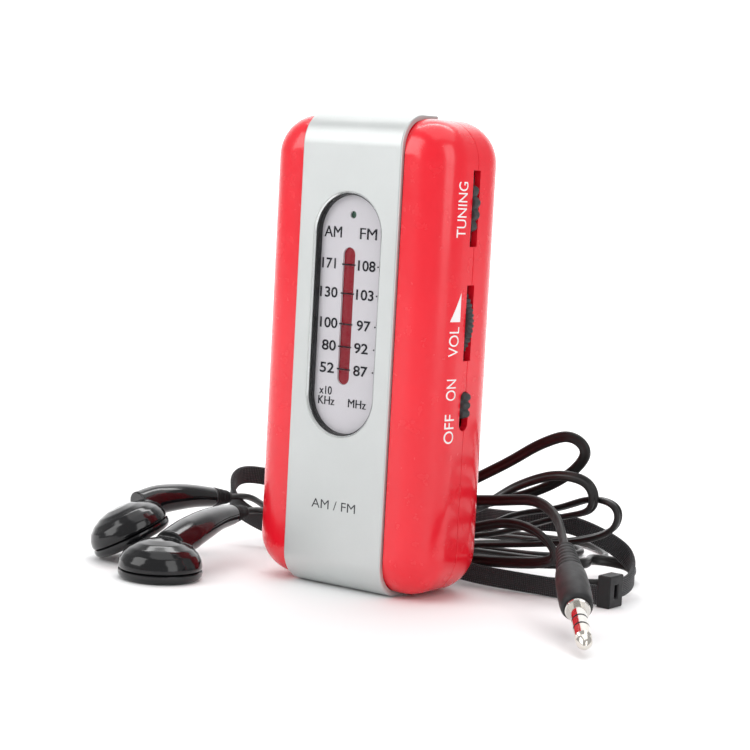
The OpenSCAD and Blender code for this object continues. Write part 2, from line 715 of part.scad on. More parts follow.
module plug_shaft() {
  shaft = norm(plug_tip - plug_tail) - grip_l;
  r = plug_d / 2;
  color("silver") aimed(plug_tail, plug_tip) translate([0, 0, grip_l]) {
    translate([0, 0, -3]) cylinder(h = 3, r = r);
    cylinder(h = 1, r = 2.6);
    rotate_extrude() polygon([[0, 1], [r, 1], [r, shaft - 3.6], [r - 0.5, shaft - 3.1],
      [r, shaft - 1.9], [0.5, shaft], [0, shaft]]);
  }
}

module main_cord() { color("black") round_tube(main_route, twin_d); }
module left_cord() { color("black") round_tube(left_route, lead_d); }
module right_cord() { color("black") round_tube(right_route, lead_d); }

module cord_splitter() {
  color("black") tube([[2, 24, 1.5], [-1, 24, 1.5], [-6, 24, 1.5]], [1.8, 2.3, 2.3], [1.4, 1.4, 1.4]);
}

module ear_rim() {
  rotate_extrude() polygon([[7.4, 0.7], [8.2, 0], [9, 0.5], [ear_r - 0.1, 2.2], [7.4, 2.2]]);
}

module ear_dome() {
  rotate_extrude() polygon([[0, 2.2], [ear_r - 0.1, 2.2], [ear_r, 3], [ear_r - 0.3, 4.2], [8.5, 5.8],
    [7, 7.2], [5, 8.4], [2.6, 9.1], [0, 9.3]]);
}

module ear_grille() {
  cylinder(h = 1.5, r = 7.4);
}

module left_place() {
  translate(left_centre) children();
}

module right_place() {
  translate(right_centre) rotate([0, 0, right_turn]) rotate([0, right_lean, 0]) children();
}

// A smooth stem: cones between the route's points, with a ball at each.
module stem(p, r) {
  for (i = [0:len(p) - 2]) {
    translate(p[i]) sphere(r[i]);
    aimed(p[i], p[i + 1]) cylinder(h = norm(p[i + 1] - p[i]), r1 = r[i], r2 = r[i + 1]);
  }
}

module left_housing() {
  color("black") {
    left_place() ear_dome();
    stem(left_stem, left_stem_r);
  }
}

module right_housing() {
  color("black") {
    right_place() ear_dome();
    stem(right_stem, right_stem_r);
  }
}

module left_rim() { color("black") left_place() ear_rim(); }
module right_rim() { color("black") right_place() ear_rim(); }
module left_grille() { color("gray") left_place() translate([0, 0, 0.7]) ear_grille(); }
module right_grille() { color("gray") right_place() translate([0, 0, 0.7]) ear_grille(); }
module left_relief() { color("black") tube(left_relief_route, [2.4, 2.1, 1.5], [2.4, 2.1, 1.5]); }
module right_relief() { color("black") tube(right_relief_route, [2.4, 2.1, 1.5], [2.4, 2.1, 1.5]); }

module neck_strap() {
  half = [for (i = strap_route) 0.5];
  color("black") tube(strap_route, half, [for (i = strap_route) strap_w / 2], upright = true);
}

module strap_buckle() {
  color("black") translate([50, 20, 0]) cube([3.4, 6, 7.4]);
}

front_shell();
rear_shell();
front_band();
dial_lens();
dial_bezel();
dial_plate();
dial_filter();
dial_pointer();
pointer_rail();
dial_cord();
cord_drum();
tuning_wheel();
upper_pulley();
lower_pulley();
pulley_pins();
tuning_capacitor();
volume_wheel();
volume_pot();
power_knob();
power_switch();
band_knob();
band_switch();
earphone_jack();
signal_led();
circuit_board();
radio_chip();
tuned_coils();
filter_capacitors();
ferrite_rod();
aerial_coil();
battery_cells();
battery_contacts();
battery_springs();
battery_door();
case_screws();
board_screws();
battery_leads();
plug_grip();
plug_shaft();
main_cord();
cord_splitter();
left_cord();
right_cord();
left_housing();
left_rim();
left_grille();
left_relief();
right_housing();
right_rim();
right_grille();
right_relief();
neck_strap();
strap_buckle();
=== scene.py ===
"""Looks for the pocket radio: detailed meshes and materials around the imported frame, in metres."""

import math
import random

import bmesh
import bpy
from mathutils import Matrix, Vector


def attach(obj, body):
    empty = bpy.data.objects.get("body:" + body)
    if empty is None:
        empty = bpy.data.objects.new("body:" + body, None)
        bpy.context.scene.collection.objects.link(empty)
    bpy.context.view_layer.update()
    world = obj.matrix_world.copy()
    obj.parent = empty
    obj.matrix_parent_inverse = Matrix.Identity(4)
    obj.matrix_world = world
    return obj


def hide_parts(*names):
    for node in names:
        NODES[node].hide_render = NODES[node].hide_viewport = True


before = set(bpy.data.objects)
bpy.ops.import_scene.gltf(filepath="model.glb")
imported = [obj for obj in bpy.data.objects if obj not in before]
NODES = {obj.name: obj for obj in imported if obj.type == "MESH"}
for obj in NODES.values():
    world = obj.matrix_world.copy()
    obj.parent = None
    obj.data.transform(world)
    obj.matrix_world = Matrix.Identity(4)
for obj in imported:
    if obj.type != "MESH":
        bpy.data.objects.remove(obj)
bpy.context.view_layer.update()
MM = 0.001
random.seed(7)

# Case, in millimetres.
HALF_W, HALF_D, RISE, TOP = 25.3, 13.0, 0.8, 108.0
CORNER_R, FRONT_R, REAR_R, WALL = 9.6, 8.4, 9.4, 1.6
SEAM_Y, SEAM_GAP = -0.6, 0.05
BAND_HALF, BAND_T, BEND_R, SPINE_R, CREVICE = 13.7, 1.2, 7.6, 6.8, 0.3
SPINE_DROP = 0.7  # how far the spine's top lies under the band's
FACE_Y, BACK_Y = -HALF_D - RISE, HALF_D + RISE
WINDOW_R, WINDOW_LOW, WINDOW_HIGH = 9.05, 35.4, 89.9
DIAL_Y = FACE_Y + 2.2
SLOT_X, SLOT_R, SLOT_LOW, SLOT_HIGH = -0.75, 1.65, 46.8, 77.8
LED = (-0.2, 85.1)
TUNING, VOLUME = (14.1, 88.0, 12.2), (14.8, 62.7, 11.5)
WHEEL_Y, WHEEL_SLOT_Y, WHEEL_SLOT_HALF = -1.15, (-2.4, 0.3), 8.4
SWITCH_Y, SWITCH_R, SWITCH_HALF = -0.95, 1.65, 4.45
POWER_Z, BAND_Z, JACK_Z = 43.05, 62.0, 88.0
DOOR_HALF, DOOR_LOW, DOOR_HIGH = 12.3, 12.0, 62.0
POSTS = [(-17.5, 94), (17.5, 14), (-17.5, 14)]

# Routes of the cords and of the strap, the same points as the CAD's.
MAIN = [(50, 5, 15), (46, 10, 17), (41, 15, 20), (33, 19, 22), (20, 22, 20),
        (0, 22, 17), (-14, 21, 13), (-24, 26, 11), (-14, 31, 13),
        (2, 28, 19), (19, 27, 28), (29, 26, 34), (37, 26, 37), (41, 27, 34), (36, 29, 28),
        (23, 31, 21), (0, 33, 14), (-12, 36, 10), (-20, 40, 7), (-14, 45, 9),
        (0, 40, 13), (12, 30, 17), (25, 24, 24), (36, 23, 28), (44, 24, 27), (44, 26, 21),
        (33, 28, 17), (10, 34, 9), (-12, 32, 6), (-24, 36, 5), (-15, 42, 5),
        (2, 40, 8), (18, 35, 15), (32, 31, 19), (43, 28, 23), (50, 27, 22), (49, 28, 17),
        (37, 30, 12), (12, 26, 8), (-10, 24, 5), (-22, 20, 5), (-12, 17, 7),
        (6, 18, 10), (26, 18, 16), (37, 16, 15), (41, 16, 11), (35, 18, 8),
        (12, 21, 5), (-10, 27, 3), (-20, 31, 2), (-10, 36, 2), (8, 33, 3),
        (24, 30, 5), (34, 40, 5), (30, 52, 4), (38, 56, 3), (43, 45, 1.5), (35, 32, 1.5),
        (18, 25, 1.5), (2, 24, 1.5)]
LEFT = [(-6, 23, 1.5), (-16, 22, 1), (-28, 26, 1), (-38, 34, 1), (-36, 46, 1),
        (-22, 54, 1), (-4, 56, 1), (12, 62, 1), (14, 74, 1), (0, 78, 1), (-18, 70, 1),
        (-34, 60, 1), (-46, 50, 1), (-50, 40, 2), (-47, 29, 5), (-43, 18, 8.5), (-40.5, 9, 10.5),
        (-40, 3.5, 10.8)]
RIGHT = [(-6, 25, 1.5), (-16, 26, 1), (-28, 34, 1), (-30, 44, 1), (-18, 50, 1),
         (0, 52, 1), (18, 58, 1), (22, 72, 1), (8, 84, 1), (-14, 80, 1), (-34, 70, 1),
         (-52, 58, 1), (-58, 46, 1), (-55, 36, 3), (-53, 27, 8), (-51, 18, 11.5),
         (-50, 9, 12.4)]
STRAP = [(50, 24, 3), (50.5, 33, 3.5), (48, 40, 5.5), (44, 42, 9), (39, 38.5, 12.5),
         (31, 37, 14.5), (17, 39, 13), (0, 46, 11), (-24, 46, 10), (-44, 38, 12), (-55, 28, 15.5),
         (-57, 20, 15.5), (-53, 15, 10), (-43, 17, 5.5), (-26, 16.5, 4.4), (-8, 15.4, 4.4),
         (8, 15.4, 4.4), (20, 17.5, 3), (36, 21, 2.4), (50, 21, 2.6)]
PLUG_TAIL, PLUG_TIP = Vector((50, 5, 15)), Vector((74.6, -26, 2.4))
LEFT_EAR, RIGHT_EAR = Vector((-34, -33, 0)), Vector((-52.5, -21.8, 4.4))
LEFT_STEM = [(-34, -30, 7), (-34.8, -24, 8.6), (-36, -17, 10), (-37.5, -10, 10.8), (-39, -3, 10.8)]
RIGHT_STEM = [(-54.8, -18, 12), (-53.6, -13, 13.4), (-52, -7, 13.8), (-51, -2, 13.6), (-50.5, 3, 13)]
LEFT_RELIEF = [(-39, -3, 10.8), (-39.5, 0, 10.8), (-40, 3.5, 10.8)]
RIGHT_RELIEF = [(-50.5, 3, 13), (-50.3, 6, 12.7), (-50, 9, 12.4)]


# Camera, placed where a viewer sees the radio three-quarter from its right.
def make_camera():
    data = bpy.data.cameras.new("camera")
    data.sensor_width, data.lens = 36, 102.37
    data.clip_start, data.clip_end = 0.01, 20
    camera = bpy.data.objects.new("camera", data)
    bpy.context.scene.collection.objects.link(camera)
    d, p, roll = math.radians(36.13 + 0.036), math.radians(-5.776), math.radians(3.068)
    ahead = Vector((-math.sin(d) * math.cos(p), math.cos(d) * math.cos(p), math.sin(p)))
    right = ahead.cross(Vector((0, 0, 1))).normalized()
    up = right.cross(ahead)
    x = right * math.cos(roll) + up * math.sin(roll)
    y = up * math.cos(roll) - right * math.sin(roll)
    turn = Matrix((x, y, -ahead)).transposed().to_4x4()
    camera.matrix_world = Matrix.Translation(Vector((286.93, -393.02, 97.73)) * MM) @ turn
    bpy.context.scene.camera = camera


make_camera()


# Materials.
class Paint:
    """A Principled material with helpers for procedural detail in object space, scaled in millimetres."""

    def __init__(self, name, color, rough, **sockets):
        self.m = bpy.data.materials.new(name)
        self.m.use_nodes = True
        self.t = self.m.node_tree
        self.b = self.t.nodes["Principled BSDF"]
        self.b.inputs["Base Color"].default_value = (*color, 1)
        self.b.inputs["Roughness"].default_value = rough
        for key, value in sockets.items():
            self.b.inputs[key.replace("_", " ")].default_value = value
        self.co = self.node("ShaderNodeTexCoord").outputs["Object"]
        self.bump = None

    def node(self, kind, **props):
        n = self.t.nodes.new(kind)
        for key, value in props.items():
            setattr(n, key, value)
        return n

    def link(self, a, b):
        self.t.links.new(a, b)

    def stretched(self, scale):
        n = self.node("ShaderNodeMapping")
        n.inputs["Scale"].default_value = scale
        self.link(self.co, n.inputs["Vector"])
        return n.outputs["Vector"]

    def noise(self, per_mm, detail=3, stretch=None):
        n = self.node("ShaderNodeTexNoise")
        n.inputs["Scale"].default_value = per_mm * 1000
        n.inputs["Detail"].default_value = detail
        self.link(self.stretched(stretch) if stretch else self.co, n.inputs["Vector"])
        return n.outputs["Fac"]

    def ramp(self, fac, low, high, a, b):
        n = self.node("ShaderNodeMapRange")
        n.inputs["From Min"].default_value, n.inputs["From Max"].default_value = low, high
        n.inputs["To Min"].default_value, n.inputs["To Max"].default_value = a, b
        self.link(fac, n.inputs["Value"])
        return n.outputs["Result"]

    def tint(self, fac, dark, light):
        n = self.node("ShaderNodeMix", data_type="RGBA")
        n.inputs[6].default_value, n.inputs[7].default_value = (*dark, 1), (*light, 1)
        self.link(fac, n.inputs[0])
        self.link(n.outputs[2], self.b.inputs["Base Color"])
        return self

    def roughen(self, fac, low, high):
        self.link(self.ramp(fac, 0.3, 0.7, low, high), self.b.inputs["Roughness"])
        return self

    def relief(self, height, depth_mm, strength=1.0):
        n = self.node("ShaderNodeBump")
        n.inputs["Distance"].default_value = depth_mm * MM
        n.inputs["Strength"].default_value = strength
        self.link(height, n.inputs["Height"])
        if self.bump:
            self.link(self.bump, n.inputs["Normal"])
        self.bump = n.outputs["Normal"]
        self.link(self.bump, self.b.inputs["Normal"])
        return self


def plastic(name, color, rough, vary=0.12, grain=0.004, per_mm=2.0, **sockets):
    p = Paint(name, color, rough, **sockets)
    dark = tuple(c * (1 - vary) for c in color)
    light = tuple(min(1, c * (1 + vary * 0.5)) for c in color)
    p.tint(p.ramp(p.noise(0.05), 0.3, 0.7, 0, 1), dark, light)
    p.roughen(p.noise(0.35, 5), rough * 0.85, min(1, rough * 1.2))
    return p.relief(p.noise(per_mm, 4), grain)


def metal(name, color, rough, stretch=(1, 1, 1), per_mm=1.5, grain=0.006):
    p = Paint(name, color, rough, Metallic=1.0)
    p.tint(p.noise(0.2, 4), tuple(c * 0.88 for c in color), color)
    streak = p.noise(per_mm, 6, stretch)
    p.roughen(streak, rough * 0.8, rough * 1.25)
    return p.relief(streak, grain)


def woven(name, color, rib_mm):
    """A ribbed weave that runs along the piece's own UV, with painted shade in its grooves and a painted
    highlight on its crests.
    """
    p = Paint(name, color, 0.78, Sheen_Weight=0.35, Sheen_Roughness=0.45)
    p.b.inputs["Sheen Tint"].default_value = (0.6, 0.6, 0.62, 1)
    uv = p.node("ShaderNodeUVMap", uv_map="run").outputs["UV"]
    ribs = []
    for direction, per in (("X", 1 / rib_mm), ("Y", 1 / 0.42)):
        w = p.node("ShaderNodeTexWave", bands_direction=direction)
        w.inputs["Scale"].default_value = per * 1000 * MM * math.pi / 10
        w.inputs["Distortion"].default_value = 0.6
        w.inputs["Detail Scale"].default_value = 3
        p.link(uv, w.inputs["Vector"])
        ribs.append(w.outputs["Fac"])
    both = p.node("ShaderNodeMath", operation="MULTIPLY")
    p.link(ribs[0], both.inputs[0])
    p.link(ribs[1], both.inputs[1])
    # Painted shade and highlight: the colour follows the weave's height, darker in the grooves and lighter
    # on the crests.
    p.tint(both.outputs[0], tuple(c * 0.45 for c in color), tuple(c * 1.7 for c in color))
    return p.relief(both.outputs[0], 0.22)


RED = plastic("red_case", (0.80, 0.006, 0.02), 0.24, 0.05, 0.0012, 1.2,
              Coat_Weight=0.25, Coat_Roughness=0.08)
SILVER = Paint("silver_band", (0.62, 0.645, 0.64), 0.42, Metallic=0.55)
SILVER.tint(SILVER.noise(0.06, 3), (0.51, 0.53, 0.525), (0.59, 0.61, 0.605))
SILVER.roughen(SILVER.noise(3.0, 4), 0.36, 0.48)
SILVER.relief(SILVER.noise(5.0, 3), 0.006)
RIM = metal("window_rim", (0.82, 0.84, 0.84), 0.22)
LENS = Paint("clear_lens", (0.98, 0.985, 1.0), 0.02, Transmission_Weight=1.0, IOR=1.49, Alpha=0.03)
LENS.relief(LENS.noise(0.04, 2), 0.002)
PLATE = plastic("scale_plate", (0.56, 0.545, 0.575), 0.55, 0.03, 0.002)
PRINT = plastic("black_print", (0.006, 0.006, 0.01), 0.6, 0.1, 0.002, Specular_IOR_Level=0.15)
MARK = plastic("grey_print", (0.03, 0.03, 0.035), 0.45, 0.1, 0.002)
WHITE = plastic("white_print", (0.9, 0.86, 0.86), 0.5, 0.03, 0.002)
BLACK = plastic("black_plastic", (0.008, 0.008, 0.009), 0.42, Specular_IOR_Level=0.3)
FILTER = plastic("red_filter", (0.24, 0.005, 0.014), 0.3, 0.15, 0.001, Specular_IOR_Level=0.15)
LAMP = Paint("green_lamp", (0.02, 0.1, 0.05), 0.15, Coat_Weight=0.6)
LAMP.tint(LAMP.noise(0.8), (0.01, 0.06, 0.03), (0.04, 0.16, 0.09)).relief(LAMP.noise(2.0), 0.002)
POINTER = plastic("orange_pointer", (0.8, 0.24, 0.06), 0.35)
WHEEL = plastic("wheel_rubber", (0.03, 0.03, 0.032), 0.6, 0.2, 0.02, 4.0)
STEEL = metal("steel", (0.6, 0.6, 0.6), 0.28)
NICKEL = metal("nickel", (0.78, 0.76, 0.72), 0.12, (1, 1, 1), 0.8, 0.002)
GOLD = metal("tip_metal", (0.8, 0.76, 0.7), 0.14, (1, 1, 1), 0.8, 0.002)
IVORY = plastic("ivory_acetal", (0.75, 0.72, 0.62), 0.45)
BRAID = plastic("braid", (0.7, 0.66, 0.5), 0.8, 0.25, 0.03, 3.0)
BOARD = plastic("board_green", (0.01, 0.14, 0.045), 0.35, 0.3, 0.01, 0.6)
BLUE = plastic("capacitor_sleeve", (0.02, 0.03, 0.12), 0.3)
FERRITE = plastic("ferrite", (0.06, 0.055, 0.055), 0.7, 0.3, 0.02, 2.0)
COPPER = metal("enamelled_copper", (0.72, 0.28, 0.12), 0.3, (40, 1, 1), 0.5, 0.05)
CELL = plastic("cell_sleeve", (0.55, 0.38, 0.08), 0.28, 0.1, 0.002, Metallic=0.4)
LEAD = plastic("lead_vinyl", (0.4, 0.01, 0.01), 0.4)
GLOSS = plastic("gloss_black", (0.005, 0.005, 0.006), 0.14, 0.1, 0.001, 0.8, Specular_IOR_Level=0.35,
                Coat_Weight=0.2, Coat_Roughness=0.03)
VINYL = plastic("cord_vinyl", (0.007, 0.006, 0.006), 0.36, 0.2, 0.006, 1.5, Specular_IOR_Level=0.35)
RUBBER = plastic("grip_rubber", (0.012, 0.012, 0.013), 0.5, 0.25, 0.015, 3.0, Specular_IOR_Level=0.35)
STRAP_CLOTH = woven("strap_weave_painted_shade", (0.016, 0.016, 0.018), 0.5)
MESH_DARK = plastic("grille_mesh", (0.09, 0.09, 0.095), 0.4, 0.3, 0.05, 1.5, Metallic=0.7)


# Mesh tools; every argument is in millimetres.
def add(name, verts, faces, paint, body, slot, smooth_deg=35, replaces=()):
    data = bpy.data.meshes.new(name)
    data.from_pydata([tuple(c * MM for c in v) for v in verts], [], faces)
    o = bpy.data.objects.new(name, data)
    bpy.context.scene.collection.objects.link(o)
    return finish_piece(o, paint, body, smooth_deg, replaces)


def finish_piece(o, paint, body, smooth_deg=35, replaces=(), weigh=False):
    b = bmesh.new()
    b.from_mesh(o.data)
    bmesh.ops.recalc_face_normals(b, faces=b.faces)
    b.to_mesh(o.data)
    b.free()
    smooth(o.data, smooth_deg)
    if weigh:
        m = o.modifiers.new("normals", "WEIGHTED_NORMAL")
        m.keep_sharp = True
        apply_modifiers(o)
    o.data.materials.clear()
    o.data.materials.append(paint.m)
    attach(o, body)
    if replaces:
        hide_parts(*replaces)
    return o


def smooth(data, degrees):
    for f in data.polygons:
        f.use_smooth = True
    data.set_sharp_from_angle(angle=math.radians(degrees))


def apply_modifiers(o):
    bpy.context.view_layer.update()
    shown = o.evaluated_get(bpy.context.evaluated_depsgraph_get())
    data = bpy.data.meshes.new_from_object(shown)
    old = o.data
    o.modifiers.clear()
    o.data = data
    bpy.data.meshes.remove(old)


def cut(o, cutters):
    for c in cutters:
        m = o.modifiers.new("cut", "BOOLEAN")
        m.operation, m.solver, m.object = "DIFFERENCE", "EXACT", c
    apply_modifiers(o)


def soften(o, width, segments=2, degrees=40):
    m = o.modifiers.new("edge", "BEVEL")
    m.width, m.segments, m.limit_method = width * MM, segments, "ANGLE"
    m.angle_limit = math.radians(degrees)
    apply_modifiers(o)


def raw(name, verts, faces):
    """A plain mesh object that only helps to make another."""
    data = bpy.data.meshes.new(name)
    data.from_pydata([tuple(c * MM for c in v) for v in verts], [], faces)
    o = bpy.data.objects.new(name, data)
    bpy.context.scene.collection.objects.link(o)
    b = bmesh.new()
    b.from_mesh(data)
    bmesh.ops.recalc_face_normals(b, faces=b.faces)
    b.to_mesh(data)
    b.free()
    return o


def drop(*objects):
    for o in objects:
        data = o.data
        bpy.data.objects.remove(o)
        bpy.data.meshes.remove(data)


def loft(rings, closed=False, caps=True):
    """Verts and faces of rings that all have the same number of points."""
    n = len(rings[0])
    verts = [p for ring in rings for p in ring]
    faces = []
    last = len(rings) if closed else len(rings) - 1
    for i in range(last):
        a, b = i * n, (i + 1) % len(rings) * n
        faces += [(a + k, a + (k + 1) % n, b + (k + 1) % n, b + k) for k in range(n)]
    if caps and not closed:
        faces += [tuple(range(n)), tuple(range((len(rings) - 1) * n, len(rings) * n))[::-1]]
    return verts, faces


def stadium(cx, r, low, high, n=32):
    """Outline in x and z, anticlockwise from the right side."""
    points = []
    for k in range(n + 1):
        a = math.pi * k / n
        points.append((cx + r * math.cos(a), high - r + r * math.sin(a)))
    for k in range(n + 1):
        a = math.pi + math.pi * k / n
        points.append((cx + r * math.cos(a), low + r + r * math.sin(a)))
    return points


def prism(name, outline, levels):
    """A solid along Y: outline is a function of the level's inset, levels are (y, inset)."""
    return raw(name, *loft([[(x, y, z) for x, z in outline(s)] for y, s in levels]))


def block(name, low, high):
    x0, y0, z0 = low
    x1, y1, z1 = high
    ring = [(x0, z0), (x1, z0), (x1, z1), (x0, z1)]
    return raw(name, *loft([[(x, y, z) for x, z in ring] for y in (y0, y1)]))


def lathe(profile, n=96):
    """Rings about Z of (r, z) points; a radius of zero is kept tiny so that the ends close."""
    return loft([[(max(r, 1e-3) * math.cos(2 * math.pi * k / n),
                   max(r, 1e-3) * math.sin(2 * math.pi * k / n), z) for k in range(n)]
                 for r, z in profile])


def placed(shape, matrix):
    verts, faces = shape
    return [tuple(matrix @ Vector(v)) for v in verts], faces


def aim(start, end):
    turn = (end - start).to_track_quat("Z", "Y").to_matrix().to_4x4()
    return Matrix.Translation(start) @ turn


def dense(points, step=0.5, soft=2.2, floor=None):
    """A smooth line through the route: splined, evened out and relaxed, with its ends kept."""
    p = [Vector(q) for q in points]
    p = [2 * p[0] - p[1], *p, 2 * p[-1] - p[-2]]
    line = []
    for a, b, c, d in zip(p, p[1:], p[2:], p[3:]):
        steps = max(2, int((c - b).length / step))
        for k in range(steps):
            t = k / steps
            line.append(0.5 * (2 * b + (c - a) * t + (2 * a - 5 * b + 4 * c - d) * t * t
                               + (3 * b - a - 3 * c + d) * t ** 3))
    line.append(p[-2])
    reach = int(soft / step * 2)
    weights = [math.exp(-0.5 * (k * step / soft) ** 2) for k in range(-reach, reach + 1)]
    out = []
    for i in range(len(line)):
        room = min(i, len(line) - 1 - i, reach)
        total, mass = Vector(), 0
        for k in range(-room, room + 1):
            w = weights[k + reach]
            total, mass = total + w * line[i + k], mass + w
        q = total / mass
        if floor is not None:
            q.z = max(q.z, floor)
        out.append(q)
    return out


def sweep(line, section, start_side=None, level=False):
    """Rings of section points (across, up) along line: carried without twist, or level all the way."""
    side = start_side
    rings = []
    for i, p in enumerate(line):
        t = (line[min(i + 1, len(line) - 1)] - line[max(i - 1, 0)]).normalized()
        if side is None or level:
            side = t.cross(Vector((0, 0, 1)))
        side = (side - side.dot(t) * t).normalized()
        up = side.cross(t)
        rings.append([tuple(p + side * x + up * z) for x, z in section(i)])
    return rings


# Cords first.
TWIN_R, TWIN_OFF, LEAD_R, STRAP_HALF, STRAP_T = 0.7, 0.6, 0.8, 2.2, 1.0


def twin_section(i):
    """Two round strands side by side with a web, so that a groove runs along each face."""
    points = []
    for centre, start in ((TWIN_OFF, -130), (-TWIN_OFF, 50)):
        for k in range(11):
            a = math.radians(start + 26 * k)
            points.append((centre + TWIN_R * math.cos(a), TWIN_R * math.sin(a)))
    return points


def round_section(r, n=14):
    return [(r * math.cos(2 * math.pi * k / n), r * math.sin(2 * math.pi * k / n)) for k in range(n)]


def strap_section(i):
    h, t, e = STRAP_HALF, STRAP_T / 2, 0.25
    return [(-t, -h + e), (-t + e, -h), (t - e, -h), (t, -h + e), (t, -h * 0.33), (t, h * 0.33),
            (t, h - e), (t - e, h), (-t + e, h), (-t, h - e), (-t, h * 0.33), (-t, -h * 0.33)]


def make_cord(name, line, section, paint, slot, nodes, exit_point, width, far_end, with_pieces, **more):
    o = add(name, *loft(sweep(line, section, **more)), paint, "earphones", slot, 50, nodes)
    return o


def run_uv(o, line, n):
    """UV along the strap, in millimetres, for its weave."""
    uv = o.data.uv_layers.new(name="run")
    along = [0.0]
    for a, b in zip(line, line[1:]):
        along.append(along[-1] + (b - a).length)
    inverse = [None] * len(o.data.vertices)
    across = [z for _, z in strap_section(0)]
    for v in range(len(o.data.vertices)):
        inverse[v] = (along[min(v // n, len(line) - 1)], across[v % n])
    for loop in o.data.loops:
        uv.data[loop.index].uv = inverse[loop.vertex_index]


main_line = dense(MAIN, floor=0.75)
left_line = dense(LEFT, floor=LEAD_R + 0.05)
right_line = dense(RIGHT, floor=LEAD_R + 0.05)
strap_line = dense(STRAP, soft=2.6, floor=STRAP_HALF + 0.05)

# Plug, splitter and strain reliefs are the pieces on the cords.
plug_frame = aim(PLUG_TAIL, PLUG_TIP)
grip = add("grip_body", *placed(lathe([(0, -0.4), (1.7, -0.4), (2.0, 0.2)] + [
    (2.0 + 0.09 * z + 0.1 * math.sin(z * 2 * math.pi / 1.6), z) for z in
    [0.4 + 0.2 * k for k in range(52)]] + [(3.2, 11.2), (3.45, 13), (3.6, 16), (3.65, 20), (3.6, 23.5),
    (3.45, 25), (3.2, 25.7), (2.9, 26), (2.5, 26)]), plug_frame),
    RUBBER, "earphones", "plug_rubber", 40, ["plug_grip"])
SHAFT_L = (PLUG_TIP - PLUG_TAIL).length
shaft_bits = []
for name, paint, profile in (
    ("plug_collar", NICKEL, [(0, 25.9), (2.55, 25.9), (2.7, 26.1), (2.7, 26.9), (2.5, 27.1), (0, 27.1)]),
    ("plug_sleeve", NICKEL, [(0, 27.1), (1.75, 27.1), (1.75, 31.0), (0, 31.0)]),
    ("plug_ring_gap_a", BLACK, [(0, 31.0), (1.7, 31.0), (1.7, 31.6), (0, 31.6)]),
    ("plug_ring", NICKEL, [(0, 31.6), (1.75, 31.6), (1.75, 34.2), (0, 34.2)]),
    ("plug_ring_gap_b", BLACK, [(0, 34.2), (1.7, 34.2), (1.7, 34.8), (0, 34.8)]),
    ("plug_tip", GOLD, [(0, 34.8), (1.75, 34.8), (1.75, SHAFT_L - 3.7), (1.25, SHAFT_L - 3.1),
                        (1.72, SHAFT_L - 2.2), (1.6, SHAFT_L - 1.6), (0.9, SHAFT_L - 0.4),
                        (0.4, SHAFT_L), (0, SHAFT_L)]),
):
    shaft_bits.append(add(name, *placed(lathe(profile, 64), plug_frame), paint, "earphones",
                          "contact_nickel", 30, ["plug_shaft"] if name == "plug_sleeve" else ()))


def flat_oval(rx, rz, n=28):
    return [(rx * math.cos(2 * math.pi * k / n), rz * math.sin(2 * math.pi * k / n)) for k in range(n)]


split_line = dense([(3, 24, 1.5), (0, 24, 1.5), (-3, 24, 1.5), (-7, 24, 1.5)], 0.25, 0.3)
splitter = add("cord_split", *loft(sweep(split_line, lambda i: flat_oval(
    2.3 * min(1, 0.6 + 0.4 * math.sin(math.pi * i / len(split_line)) + 0.2), 1.35))),
    RUBBER, "earphones", "cord_black", 40, ["cord_splitter"])


def make_relief(name, route, node):
    line = dense(route, 0.1, 0.4)

    def section(i):
        t = i / (len(line) - 1)
        ridge = 0.16 * (1 if int(t * 18) % 2 else -1) if 0.12 < t < 0.9 else 0
        return round_section(2.35 - 0.95 * t + ridge, 28)
    return add(name, *loft(sweep(line, section)), RUBBER, "earphones", "cord_black", 40, [node])


left_relief = make_relief("left_strain", LEFT_RELIEF, "left_relief")
right_relief = make_relief("right_strain", RIGHT_RELIEF, "right_relief")

buckle_low, buckle_high = (50, 20, 0.02), (53.4, 26, 7.4)
buckle = block("strap_lock", buckle_low, buckle_high)
buckle_slot = block("slot_cut", (49, 22.2, 2.2), (55, 23.6, 5.2))
cut(buckle, [buckle_slot])
drop(buckle_slot)
soften(buckle, 0.35, 3)
finish_piece(buckle, BLACK, "earphones", 35, ["strap_buckle"], True)

make_cord("twin_cord", main_line, twin_section, VINYL, "cord_black", ["main_cord"], MAIN[0], 2.6,
          "plug", [grip, *shaft_bits, splitter], start_side=Vector((0, 0.3, 1)))
for name, line, route, node in (("left_wire", left_line, LEFT, "left_cord"),
                                ("right_wire", right_line, RIGHT, "right_cord")):
    make_cord(name, line, lambda i: round_section(LEAD_R), VINYL, "cord_black", [node], route[0], 1.6,
              "fitting", [left_relief if node == "left_cord" else right_relief])
strap = make_cord("woven_strap", strap_line, strap_section, STRAP_CLOTH, "strap_black", ["neck_strap"],
                  STRAP[0], 4.4, "object", [buckle], level=True)
run_uv(strap, strap_line, 12)


# Case shells.
def outline(inset, n=14):
    """Rounded outline of the case in x and z, inset from its widest."""
    a, r = HALF_W - inset, max(CORNER_R - inset, 0.2)
    low, high = RISE + inset, TOP - RISE - inset
    points = []
    for sx, z, start in ((1, high, 0), (-1, high, 90), (-1, low, 180), (1, low, 270)):
        cx, cz = sx * (a - r), z - r if z == high else z + r
        points += [(cx + r * math.cos(math.radians(start + 90 * k / n)),
                    cz + r * math.sin(math.radians(start + 90 * k / n))) for k in range(n + 1)]
    return points


def half_levels(sign, fillet, start_y, n=16):
    """(y, inset) from the seam to the face, with a tiny turned-in edge at the seam."""
    turn = 0.14
    flat = sign * (HALF_D - fillet)
    levels = [(start_y, turn), (start_y + sign * turn * 0.3, turn * 0.3), (start_y + sign * turn, 0)]
    return levels + [(flat + sign * fillet * math.sin(math.pi / 2 * k / n),
                      fillet * (1 - math.cos(math.pi / 2 * k / n))) for k in range(n + 1)]


